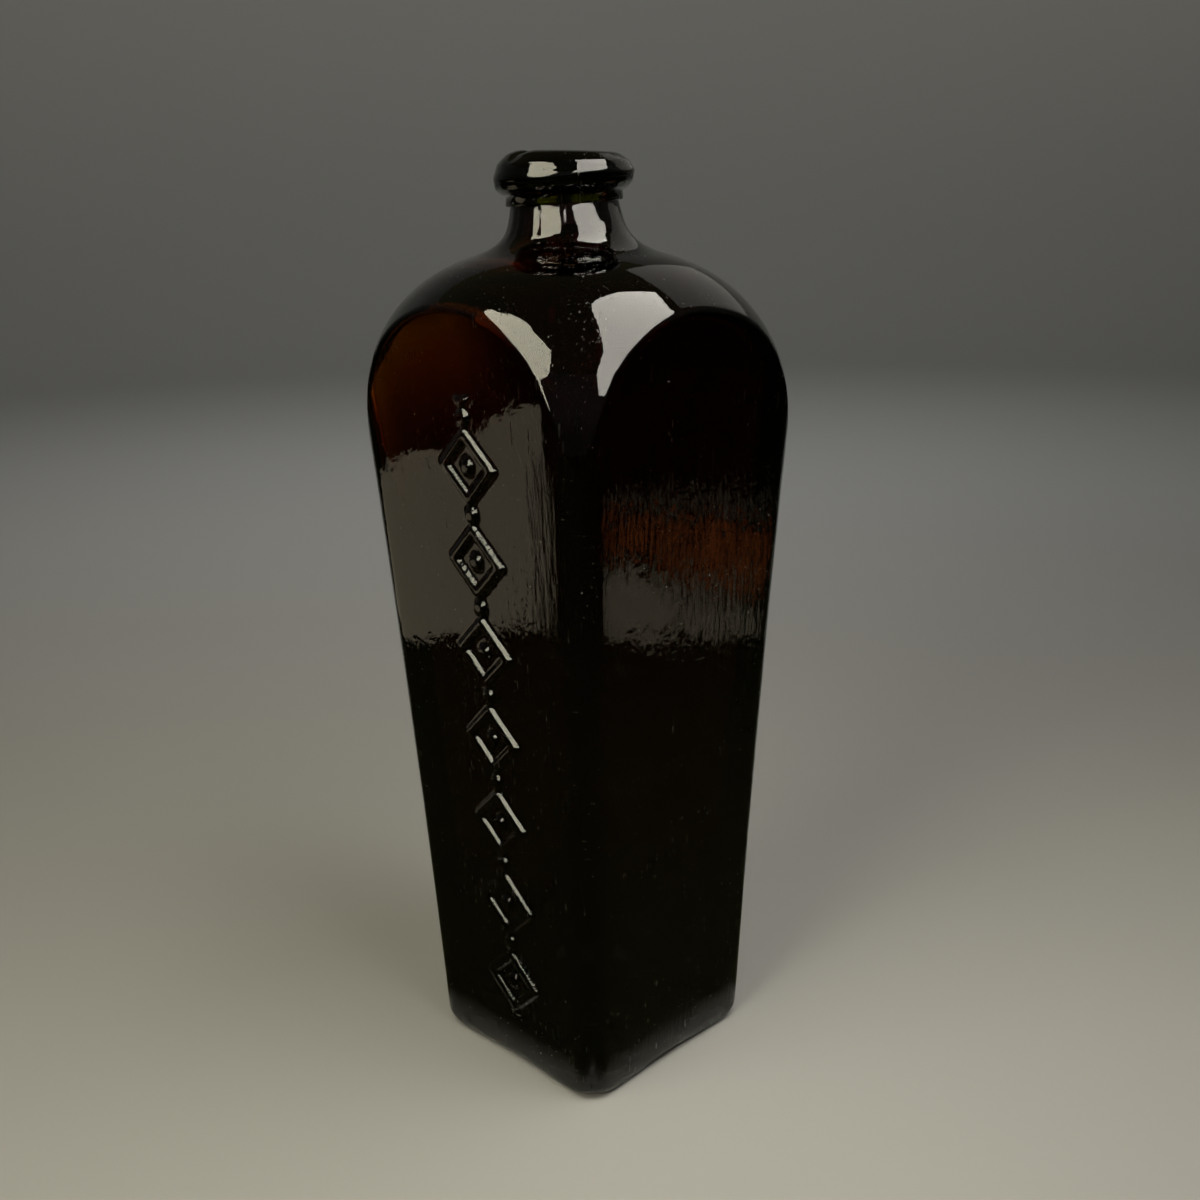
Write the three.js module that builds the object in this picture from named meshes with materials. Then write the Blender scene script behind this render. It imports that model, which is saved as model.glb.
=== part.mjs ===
// A square case gin bottle of dark glass, in two pieces: the mould-blown body, a hollow tapered
// box with a domed shoulder and a short flared neck, and the lip, a second gather of glass that
// was laid round the end of the neck and tooled into a ring.
// Millimetres, +Z up the bottle, origin under the middle of the base, flat sides square to X and Y.

import * as THREE from 'three';
import { mergeVertices, toCreasedNormals } from 'three/addons/utils/BufferGeometryUtils.js';

// The mould's tapered square box, measured across its flats
const shoulderWidth = 89.2;
const baseWidth = 68.6;
const shoulderHeight = 189;
const sideHollow = 0.5;
const shoulderCornerRadius = 9;
const baseCornerRadius = 7;

// Heel: rounded in under the sides, and further in at the corners. Each side arches up between
// the corner feet, and the arch fades out up the side.
const heelInset = 2.5;
const heelHeight = 5;
const footRounding = 9;
const footArchRise = 1.2;
const footArchFade = 16;

// Push-up in the underside
const kickUpRadius = 22;
const kickUpHeight = 7;

// Dome and neck
const domeRise = 52;
const domeFullness = 2.46;
const flareStartRadius = 27;
const flareReach = 11.5;
const neckRise = 10.5;
const neckReach = 6.4;
const neckEndRadius = 14.8;
const neckTaper = THREE.MathUtils.degToRad(15);

// Glass thickness and the way in
const wallThickness = 4.5;
const floorThickness = 8;
const boreRadius = 9.5;

// Lip ring, with heights measured from its underside
const lipHeight = 13.5;
const lipRadius = 19.3;
const lipBulgeHeight = 6.9;
const lipUnderReach = 4.8;
const lipRimRadius = 11.6;
const mouthRounding = 1.5;
const collarHeight = 1.4;
const collarRadius = 15.8;
const lipLap = 7;
const lipClearance = 0.3;

// Hand finishing: the dome and neck lean towards one corner, and the lip dips the same way
const neckLean = 2.4;
const lipTilt = THREE.MathUtils.degToRad(2.7);
const leanAzimuth = THREE.MathUtils.degToRad(225);

// Fineness of the facets
const flatSteps = 10;
const cornerSteps = 6;
const kickUpSteps = 5;
const heelSteps = 4;
const sideSteps = 6;
const domeSteps = 9;
const flareSteps = 7;
const lipArcSteps = 3;
const lipSegments = 48;

// Levels and radii that follow from the sizes above
const lipUnderLevel = shoulderHeight + domeRise + neckRise;
const neckEndLevel = lipUnderLevel + lipLap;
const sideTaper = (shoulderWidth - baseWidth) / 2 / shoulderHeight;
const domeRadius = (shoulderWidth / 2 - shoulderCornerRadius) * Math.SQRT2 + shoulderCornerRadius;
const kickUpBall = (kickUpRadius ** 2 + kickUpHeight ** 2) / (2 * kickUpHeight);
const leanWay = new THREE.Vector2(Math.cos(leanAzimuth), Math.sin(leanAzimuth));
const quarterColumns = flatSteps + cornerSteps;
const columns = Array.from({ length: 4 * quarterColumns }, (unused, column) => column);

// The square box

// Half the width across the flats: a straight taper, drawn in a little between base and shoulder
function halfWidthAt(level) {
  const share = THREE.MathUtils.clamp(level / shoulderHeight, 0, 1);
  return baseWidth / 2 + sideTaper * level - 4 * sideHollow * share * (1 - share);
}

function cornerRadiusAt(level) {
  const share = THREE.MathUtils.clamp(level / shoulderHeight, 0, 1);
  return THREE.MathUtils.lerp(baseCornerRadius, shoulderCornerRadius, share);
}

// How far along its flat a column lies, from -1 to 1. A column on a corner counts as an end.
function alongFlat(column) {
  return Math.min((2 * (column % quarterColumns)) / flatSteps - 1, 1);
}

// Where a column stands on a square with rounded corners
function squarePoint(column, halfWidth, cornerRadius) {
  const reach = halfWidth - cornerRadius;
  const cornerStep = Math.max((column % quarterColumns) - flatSteps, 0);
  const turn = (Math.PI / 2) * (cornerStep / cornerSteps);
  const x = reach + cornerRadius * Math.cos(turn);
  const y = reach * alongFlat(column) + cornerRadius * Math.sin(turn);
  const quarter = Math.floor(column / quarterColumns);
  return new THREE.Vector2(x, y).rotateAround(new THREE.Vector2(), (quarter * Math.PI) / 2);
}

// Where a column stands on the box at some level, set in by skin
function boxPoint(column, level, skin) {
  return squarePoint(column, halfWidthAt(level) - skin, cornerRadiusAt(level));
}

// The rise of the base between its feet, full in the middle of each flat and nothing at its ends
function footArch(column) {
  return footArchRise * (1 - alongFlat(column) ** 2) ** 2;
}

// The dome and neck

// The axis of the dome and neck leaves the middle of the box more and more above the shoulder
function axisAt(level) {
  const share = (level - shoulderHeight) / (lipUnderLevel - shoulderHeight);
  return leanWay.clone().multiplyScalar(neckLean * THREE.MathUtils.clamp(share, 0, 1) ** 1.5);
}

// A point of the dome, neck or lip, the given radius from the axis in the given direction. From the
// flare up to the lip's underside the rings dip more and more towards the lean.
function roundPoint(direction, radius, level) {
  const place = axisAt(level).addScaledVector(direction, radius);
  const flareLevel = domeLevelAt(flareStartRadius, 0);
  const dip = Math.tan(lipTilt) * THREE.MathUtils.smoothstep(level, flareLevel, lipUnderLevel);
  return new THREE.Vector3(place.x, place.y, level - dip * radius * direction.dot(leanWay));
}

// The dome is a superellipse, set in by skin, that starts on the box's corners at the shoulder
function domeLevelAt(radius, skin) {
  const across = radius / (domeRadius - skin);
  return shoulderHeight + (domeRise - skin) * (1 - across ** domeFullness) ** (1 / domeFullness);
}

function domeRadiusAt(level, skin) {
  const up = (level - shoulderHeight) / (domeRise - skin);
  return (domeRadius - skin) * (1 - up ** domeFullness) ** (1 / domeFullness);
}

// The level where a column leaves the box's side for the dome, found by halving
function edgeLevel(column, skin) {
  let low = shoulderHeight;
  let high = shoulderHeight + domeRise - skin;
  for (let halving = 0; halving < 40; halving += 1) {
    const middle = (low + high) / 2;
    const reach = boxPoint(column, middle, skin).sub(axisAt(middle)).length();
    if (reach < domeRadiusAt(middle, skin)) low = middle;
    else high = middle;
  }
  return low;
}

// The curve of radius and level that leaves the dome along its slope at flareRadius and reaches the
// neck's radius at the lip's underside, leaning in by taper
function flareCurve({ skin, flareRadius, neckRadius, taper }) {
  const start = new THREE.Vector2(flareRadius, domeLevelAt(flareRadius, skin));
  const slope = new THREE.Vector2(-1, domeLevelAt(flareRadius - 1, skin) - start.y).setLength(flareReach);
  const end = new THREE.Vector2(neckRadius, lipUnderLevel);
  const rising = new THREE.Vector2(-Math.sin(taper), Math.cos(taper)).multiplyScalar(neckReach);
  return new THREE.CubicBezierCurve(start, start.clone().add(slope), end.clone().sub(rising), end);
}

// One surface of the blown glass, as rows of points that go from the middle of its bottom out to
// the heel, up the sides, over the dome and up the neck
function surfaceRows(form) {
  const { skin, floorLevel, archShare, flareRadius, neckRadius } = form;
  const rows = [];
  const addRow = (pointOf) => rows.push(columns.map(pointOf));
  const footHalfWidth = halfWidthAt(0) - skin - heelInset;

  for (let step = 1; step <= kickUpSteps; step += 1) {
    const radius = kickUpRadius * (step / kickUpSteps);
    const rise = kickUpHeight - kickUpBall + Math.sqrt(kickUpBall ** 2 - radius ** 2);
    addRow((column) => {
      const foot = squarePoint(column, footHalfWidth, baseCornerRadius + footRounding);
      const arch = archShare * footArch(column) * (radius / foot.length());
      foot.setLength(radius);
      return new THREE.Vector3(foot.x, foot.y, floorLevel + rise + arch);
    });
  }

  for (let step = 0; step <= heelSteps; step += 1) {
    const turn = (Math.PI / 2) * (step / heelSteps);
    const inward = 1 - Math.sin(turn);
    const level = floorLevel + heelHeight * (1 - Math.cos(turn));
    const halfWidth = halfWidthAt(level) - skin - heelInset * inward;
    const cornerRadius = cornerRadiusAt(level) + footRounding * inward;
    addRow((column) => {
      const place = squarePoint(column, halfWidth, cornerRadius);
      return new THREE.Vector3(place.x, place.y, level + archShare * footArch(column));
    });
  }

  const edges = columns.map((column) => edgeLevel(column, skin));
  for (let step = 0; step <= sideSteps; step += 1) {
    addRow((column) => {
      const level = THREE.MathUtils.lerp(floorLevel + footArchFade, edges[column], step / sideSteps);
      const place = boxPoint(column, level, skin);
      return new THREE.Vector3(place.x, place.y, level);
    });
  }

  const directions = columns.map((column) => {
    return boxPoint(column, edges[column], skin).sub(axisAt(edges[column])).normalize();
  });
  const flareTurn = Math.acos(flareRadius / (domeRadius - skin));
  for (let step = 1; step <= domeSteps; step += 1) {
    addRow((column) => {
      const edgeTurn = Math.acos(domeRadiusAt(edges[column], skin) / (domeRadius - skin));
      const turn = THREE.MathUtils.lerp(edgeTurn, flareTurn, step / domeSteps);
      const radius = (domeRadius - skin) * Math.cos(turn);
      return roundPoint(directions[column], radius, domeLevelAt(radius, skin));
    });
  }

  for (const point of flareCurve(form).getPoints(flareSteps).slice(1)) {
    addRow((column) => roundPoint(directions[column], point.x, point.y));
  }
  addRow((column) => roundPoint(directions[column], neckRadius, neckEndLevel));
  return rows;
}

// Skins rows of points that all have as many columns, and closes the first and last row with a fan
function skinRows(rows) {
  const count = columns.length;
  const last = rows.length - 1;
  const middleOf = (row) => {
    const sum = row.reduce((total, point) => total.add(point), new THREE.Vector3());
    return sum.divideScalar(count);
  };
  const points = [...rows.flat(), middleOf(rows[0]), middleOf(rows[last])];
  const triangles = [];
  for (const column of columns) {
    const next = (column + 1) % count;
    triangles.push(points.length - 2, next, column);
    triangles.push(points.length - 1, last * count + column, last * count + next);
    for (let low = 0; low < last * count; low += count) {
      const high = low + count;
      triangles.push(low + column, low + next, high + next);
      triangles.push(low + column, high + next, high + column);
    }
  }
  const geometry = new THREE.BufferGeometry().setFromPoints(points);
  geometry.setIndex(triangles);
  return geometry;
}

// The pieces

// The blown glass goes up the outside, over the neck's end and down the hollow. The hollow has the
// same forms one wall further in, and its floor follows the push-up.
function blownBody() {
  const outside = surfaceRows({
    skin: 0,
    floorLevel: 0,
    archShare: 1,
    flareRadius: flareStartRadius,
    neckRadius: neckEndRadius,
    taper: neckTaper,
  });
  const inside = surfaceRows({
    skin: wallThickness,
    floorLevel: floorThickness,
    archShare: 0,
    flareRadius: flareStartRadius - wallThickness,
    neckRadius: boreRadius,
    taper: 0,
  });
  return skinRows([...outside, ...inside.reverse()]);
}

// The lip wraps the end of the neck and closes over its top, where it carries on the bore
function appliedLip() {
  const seatRadius = neckEndRadius + lipClearance;
  const underRadius = lipRadius - lipUnderReach;
  const collarTurn = Math.acos((collarRadius - underRadius) / lipUnderReach);
  const outline = new THREE.Path();
  outline.moveTo(seatRadius, 0);
  outline.lineTo(collarRadius, 0);
  outline.absellipse(
    underRadius, lipBulgeHeight, lipUnderReach, lipBulgeHeight - collarHeight, -collarTurn, 0);
  outline.absellipse(
    lipRimRadius, lipBulgeHeight, lipRadius - lipRimRadius, lipHeight - lipBulgeHeight, 0, Math.PI / 2);
  outline.absarc(
    boreRadius + mouthRounding, lipHeight - mouthRounding, mouthRounding, Math.PI / 2, Math.PI);
  outline.lineTo(boreRadius, lipLap);
  outline.lineTo(seatRadius, lipLap);
  outline.closePath();
  const ring = new THREE.LatheGeometry(outline.getPoints(lipArcSteps), lipSegments);
  ring.rotateX(Math.PI / 2);
  ring.translate(0, 0, lipUnderLevel);
  const places = ring.attributes.position;
  for (let index = 0; index < places.count; index += 1) {
    const across = new THREE.Vector2(places.getX(index), places.getY(index));
    const radius = across.length();
    const point = roundPoint(across.normalize(), radius, places.getZ(index));
    places.setXYZ(index, point.x, point.y, point.z);
  }
  ring.deleteAttribute('normal');
  ring.deleteAttribute('uv');
  return mergeVertices(ring);
}

function glassPiece(name, geometry, color, roughness) {
  const material = new THREE.MeshStandardMaterial({ color, roughness, metalness: 0 });
  const mesh = new THREE.Mesh(toCreasedNormals(geometry, THREE.MathUtils.degToRad(20)), material);
  mesh.name = name;
  return mesh;
}

const bottle = new THREE.Group();
bottle.add(glassPiece('blown_body', blownBody(), '#171208', 0.1));
bottle.add(glassPiece('applied_lip', appliedLip(), '#14120a', 0.08));

export default bottle;
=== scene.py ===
"""A square case gin bottle of dark blown glass, modelled and lit as a Blender add-on.

The bottle is two pieces: the mould-blown body, one closed shell of glass round its hollow, and the
ring lip that was laid round the end of the neck. Lengths are in metres, +Z goes up the bottle,
and the origin lies under the middle of the base.
"""

import math

import bpy
import numpy as np
from bpy.props import FloatProperty, FloatVectorProperty, IntProperty, PointerProperty
from bpy.types import Operator, Panel, PropertyGroup
from mathutils import Matrix, Vector


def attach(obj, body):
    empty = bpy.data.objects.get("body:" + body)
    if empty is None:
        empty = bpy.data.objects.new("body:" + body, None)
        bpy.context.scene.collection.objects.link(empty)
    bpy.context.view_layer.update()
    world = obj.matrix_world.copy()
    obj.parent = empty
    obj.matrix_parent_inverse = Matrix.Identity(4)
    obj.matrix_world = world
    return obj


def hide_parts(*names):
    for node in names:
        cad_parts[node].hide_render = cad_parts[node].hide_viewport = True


bl_info = {
    "name": "Case Gin Bottle",
    "version": (1, 0, 0),
    "blender": (4, 5, 0),
    "location": "3D View > Sidebar > Gin Bottle",
    "description": "Builds a square case gin bottle of dark blown glass on its studio floor",
    "category": "Add Mesh",
}

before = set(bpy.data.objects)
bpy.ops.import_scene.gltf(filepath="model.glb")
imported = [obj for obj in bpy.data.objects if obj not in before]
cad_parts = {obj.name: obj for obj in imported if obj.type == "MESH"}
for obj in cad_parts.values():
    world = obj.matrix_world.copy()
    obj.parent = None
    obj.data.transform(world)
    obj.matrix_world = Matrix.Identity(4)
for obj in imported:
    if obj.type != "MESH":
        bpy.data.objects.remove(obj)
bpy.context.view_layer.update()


def length(name, description, default):
    return FloatProperty(name=name, description=description, default=default, unit="LENGTH", precision=5)


def angle(name, description, degrees):
    return FloatProperty(name=name, description=description, default=math.radians(degrees), unit="ROTATION")


def number(name, description, default):
    return FloatProperty(name=name, description=description, default=default, precision=4)


def colour(name, description, default):
    return FloatVectorProperty(
        name=name, description=description, default=default, subtype="COLOR", size=3, min=0, max=1)


# Settings

class MouldSettings(PropertyGroup):
    """The mould's tapered square box, its heel and its underside."""

    shoulder_width: length("Shoulder width", "Across the flats at the shoulder", 0.0892)
    base_width: length("Base width", "Across the flats at the base", 0.0686)
    shoulder_height: length("Shoulder height", "Level where the upright corners end", 0.189)
    side_hollow: length("Side hollow", "How far the sides draw in half way up", 0.0005)
    shoulder_corner: length("Shoulder corner", "Rounding of the upright corners at the shoulder", 0.009)
    base_corner: length("Base corner", "Rounding of the upright corners at the base", 0.007)
    heel_inset: length("Heel inset", "How far the heel rounds in under the sides", 0.0025)
    heel_height: length("Heel height", "How far up the heel rounds", 0.005)
    foot_rounding: length("Foot rounding", "Extra rounding of the corners under the feet", 0.009)
    foot_arch_rise: length("Foot arch rise", "How high each side arches between the feet", 0.0012)
    foot_arch_fade: length("Foot arch fade", "Level where the arches have faded out", 0.016)
    push_up_radius: length("Push-up radius", "Radius of the pushed-up underside", 0.022)
    push_up_height: length("Push-up height", "How far the underside is pushed up", 0.007)
    edge_softness: length("Edge softness", "Reach of the rounding along the arched edges", 0.0011)
    wave_size: length("Wave size", "Length of the waves that the mould left", 0.021)
    wave_depth: length("Wave depth", "Depth of those waves", 0.00016)
    inner_waves: number("Inner waves", "How many times deeper they are inside", 5.0)


class NeckSettings(PropertyGroup):
    """The dome and the neck, which lean a little towards one corner."""

    dome_rise: length("Dome rise", "Height of the dome above the shoulder", 0.052)
    dome_fullness: number("Dome fullness", "Power of the dome's superellipse", 2.46)
    flare_radius: length("Flare radius", "Where the dome turns up into the neck", 0.027)
    flare_reach: length("Flare reach", "Pull of the dome's slope on the flare", 0.0115)
    neck_rise: length("Neck rise", "From the dome's top to the lip's underside", 0.0105)
    neck_reach: length("Neck reach", "Pull of the neck's slope on the flare", 0.0064)
    neck_radius: length("Neck radius", "Radius of the neck under the lip", 0.0148)
    neck_taper: angle("Neck taper", "How far the neck leans in under the lip", 15)
    bore_radius: length("Bore radius", "Radius of the way in", 0.0095)
    neck_lean: length("Neck lean", "How far the neck stands off the middle", 0.0024)
    lean_azimuth: angle("Lean azimuth", "The way that the neck leans", 225)
    ripple: length("Ripple", "Depth of the upright ripples round the neck", 0.00006)
    lip_tilt: angle("Lip tilt", "How far the lip dips the same way", 2.7)


class WallSettings(PropertyGroup):
    """Thickness of the blown glass, which is uneven."""

    floor: length("Floor", "Thickness of the floor", 0.008)
    low: length("Low wall", "Wall near the base", 0.0088)
    waist: length("Waist wall", "Wall half way up", 0.0074)
    thin_shoulder: length("Thin shoulder", "Wall of the shoulder on its thin side", 0.0027)
    thick_shoulder: length("Thick shoulder", "Wall of the shoulder on its thick side", 0.0064)
    thin_azimuth: angle("Thin side", "The way that the thin side of the shoulder faces", 225)
    dome: length("Dome wall", "Least wall of the dome between the shoulder and the neck", 0.0058)


class LipSettings(PropertyGroup):
    """The ring lip, with levels measured from its underside."""

    height: length("Height", "From the underside to the top", 0.0135)
    radius: length("Radius", "Radius of the ring", 0.0193)
    bulge_level: length("Bulge level", "Level of the widest line", 0.0069)
    under_reach: length("Under reach", "How far the ring draws in below", 0.0048)
    rim_radius: length("Rim radius", "Radius of the top of the rim", 0.0116)
    mouth_rounding: length("Mouth rounding", "Rounding into the bore", 0.0015)
    collar_height: length("Collar height", "Height of the collar under the ring", 0.0022)
    collar_radius: length("Collar radius", "Radius of the collar under the ring", 0.0157)
    collar_flare: length("Collar flare", "How much wider the collar is at its foot", 0.0006)
    lap: length("Lap", "How far the lip laps over the neck", 0.007)
    seat_gap: length("Seat gap", "Gap round the neck's end", 0.00004)
    uneven: number("Uneven", "Share by which the ring is taller on the side that it leans to", 0.14)
    chip_depth: length("Chip depth", "Depth of the shallow chip in the rim", 0.0008)
    chip_azimuth: angle("Chip azimuth", "Way round to the chip", -97)
    tooling_depth: length("Tooling depth", "Depth of the marks of the lipping tool", 0.00016)


class ReliefSettings(PropertyGroup):
    """The column of plain raised lozenges and pellets on the front flat."""

    middle: length("Middle", "Where the column stands across the flat", 0.0035)
    bottom: length("Bottom", "Level of the lowest lozenge's middle", 0.030)
    top: length("Top", "Level where the column ends", 0.2045)
    pitch: length("Pitch", "From one lozenge to the next", 0.026)
    rise: length("Rise", "How far the motifs stand proud", 0.00115)
    lozenge_width: length("Lozenge width", "Width across", 0.0185)
    lozenge_height: length("Lozenge height", "Height", 0.0175)
    band: length("Band", "Width of the raised line round a lozenge", 0.0038)
    pellet: length("Pellet", "Radius of the pellets", 0.0030)


class SeedSettings(PropertyGroup):
    """Seeds, the small bubbles in the glass."""

    density: number("Density", "Seeds to a square metre", 28000)
    smallest: length("Smallest", "Radius of the smallest", 0.0001)
    largest: length("Largest", "Radius of the largest", 0.00024)
    depth: length("Depth", "How deep they lie", 0.00037)
    draw: number("Draw", "How much longer than wide they were drawn", 1.35)
    random: IntProperty(name="Random", description="Picks the random places", default=7)


class GlassSettings(PropertyGroup):
    """The dark olive-amber glass and the fine marks in its surface."""

    body_tint: colour("Body tint", "Colour that the body's glass lets through", (0.785, 0.628, 0.0))
    body_density: number("Body density", "Absorption to the metre", 1600)
    lip_tint: colour("Lip tint", "Colour that the lip's glass lets through", (0.71, 0.72, 0.0))
    lip_density: number("Lip density", "Absorption to the metre", 6000)
    refraction: number("Refraction", "Index of refraction", 1.5)
    peel_depth: length("Peel depth", "Depth of the orange peel", 0.00003)
    streak_height: number("Streak height", "Height of the streaks up the body's mould, in peel depths", 7.0)
    pimple_height: number("Pimple height", "Height of the tiny pimples, in peel depths", 4.5)
    gloss_roughness: number("Gloss roughness", "Roughness of the clean surface", 0.012)
    scuff_roughness: number("Scuff roughness", "Roughness that scuffs and pimples add", 0.3)


class StageSettings(PropertyGroup):
    """The floor, the lamps, what the glass mirrors, and the camera."""

    floor_colour: colour("Floor colour", "Plain pale floor", (0.30, 0.30, 0.295))
    floor_radius: length("Floor radius", "Where the floor turns up into its wall", 1.7)
    wall_height: length("Wall height", "Height of the wall round the floor", 2.0)
    window_colour: colour("Window colour", "Colour of the right softbox", (1.0, 0.95, 0.85))
    left_colour: colour("Left colour", "Colour of the left softbox", (1.0, 0.94, 0.72))
    window_level: number("Window level", "Brightness of the softboxes", 7.5)
    window_distance: length("Window distance", "From the bottle's shoulder to the softboxes", 0.30)
    strip_distance: length("Strip distance", "From there to the strip light for the relief", 1.1)
    window_centre: length("Window centre", "Level that the softboxes stand round", 0.225)
    fill_level: number("Fill level", "Brightness of the dim fill at the back right", 0.35)
    # The dark card is a painted dark reflection: only the glass sees it
    dark_reflection_colour: colour("Card colour", "Colour of the dark card over the floor", (0.034, 0.032, 0.016))
    card_reach: length("Card reach", "How far out the dark card goes", 1.65)
    # The low panels glow only for the glass to mirror: painted reflections on its flats
    panel_colour: colour("Panel colour", "Colour of the low panels beside the bottle", (1.0, 0.86, 0.6))
    panel_level: number("Panel level", "Brightness of the left low panel", 0.58)
    right_share: number("Right share", "Brightness of the right low panels beside it", 0.75)
    far_share: number("Far share", "Brightness of the farthest panel beside the other right ones", 0.6)
    # A painted red-brown reflection for the right flat to mirror
    painted_brown_reflection_colour: colour("Warm panel colour", "Colour of the red-brown low panel", (1.0, 0.27, 0.07))
    backdrop_level: number("Backdrop level", "Brightness of the light on the wall behind", 9.0)
    front_share: number("Front share", "Brightness of the light on the front wall beside it", 0.35)
    glow_colour: colour("Glow colour", "Colour of the wall's own glow", (1.0, 0.98, 0.88))
    glow_level: number("Glow level", "Brightness of that glow, which lights nothing", 0.03)
    world_colour: colour("World colour", "Colour of the plain surroundings", (1.0, 0.92, 0.48))
    world_level: number("World level", "Brightness of the plain surroundings", 0.04)
    azimuth: angle("Camera azimuth", "Way round the bottle, from -Y towards +X", 44.963)
    elevation: angle("Camera elevation", "Angle above the horizon", 16.527)
    roll: angle("Camera roll", "Turn about the line of sight", -1.161)
    distance: length("Camera distance", "From the point that it looks at", 0.40999)
    aim_across: length("Aim across", "Sideways shift of that point", 0.005072)
    aim_level: length("Aim level", "Level of that point", 0.139024)
    focal_length: number("Focal length", "In millimetres, on a sensor 36 mm wide", 41.80)


class BottleSettings(PropertyGroup):
    """All the bottle's settings."""

    mould: PointerProperty(type=MouldSettings)
    neck: PointerProperty(type=NeckSettings)
    wall: PointerProperty(type=WallSettings)
    lip: PointerProperty(type=LipSettings)
    relief: PointerProperty(type=ReliefSettings)
    seeds: PointerProperty(type=SeedSettings)
    glass: PointerProperty(type=GlassSettings)
    stage: PointerProperty(type=StageSettings)


# Form of the bottle

# Upright ripples round the neck: depth beside the deepest, times round, and turn at the start
NECK_RIPPLES = ((1, 13, 0.5), (0.7, 23, 2), (0.5, 37, 1))

# Marks of the lipping tool: depth, times round, turn to the metre up, and turn at the start
TOOL_MARKS = ((0.5, 0, 2100, 1.3), (0.25, 0, 5200, 0), (0.5, 3, 500, 0), (0.4, 5, -900, 2))


def mix(low, high, share):
    return low + (high - low) * share


def smooth_step(value, start, end):
    share = np.clip((value - start) / (end - start), 0, 1)
    return share * share * (3 - 2 * share)


class Columns:
    """Columns of points round a square with rounded corners. Each flat has its own places, from -1
    to 1 along it, and then comes the corner after it. The flats face +X, +Y, -X and -Y in turn."""

    def __init__(self, flats, corner_steps):
        corner = np.linspace(0, math.pi / 2, corner_steps + 1)[1:-1]
        self.along = np.concatenate([np.append(places, np.ones(len(corner))) for places in flats])
        self.corner = np.concatenate([np.append(np.zeros(len(places)), corner) for places in flats])
        quarter = np.repeat(np.arange(len(flats)), [len(places) + len(corner) for places in flats])
        self.cos, self.sin = np.cos(quarter * math.pi / 2), np.sin(quarter * math.pi / 2)
        self.front = quarter == 3
        self.count = len(self.along)

    def square(self, half_width, corner_radius):
        reach = half_width - corner_radius
        x = reach + corner_radius * np.cos(self.corner)
        y = reach * self.along + corner_radius * np.sin(self.corner)
        return np.column_stack([x * self.cos - y * self.sin, x * self.sin + y * self.cos])


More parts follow.
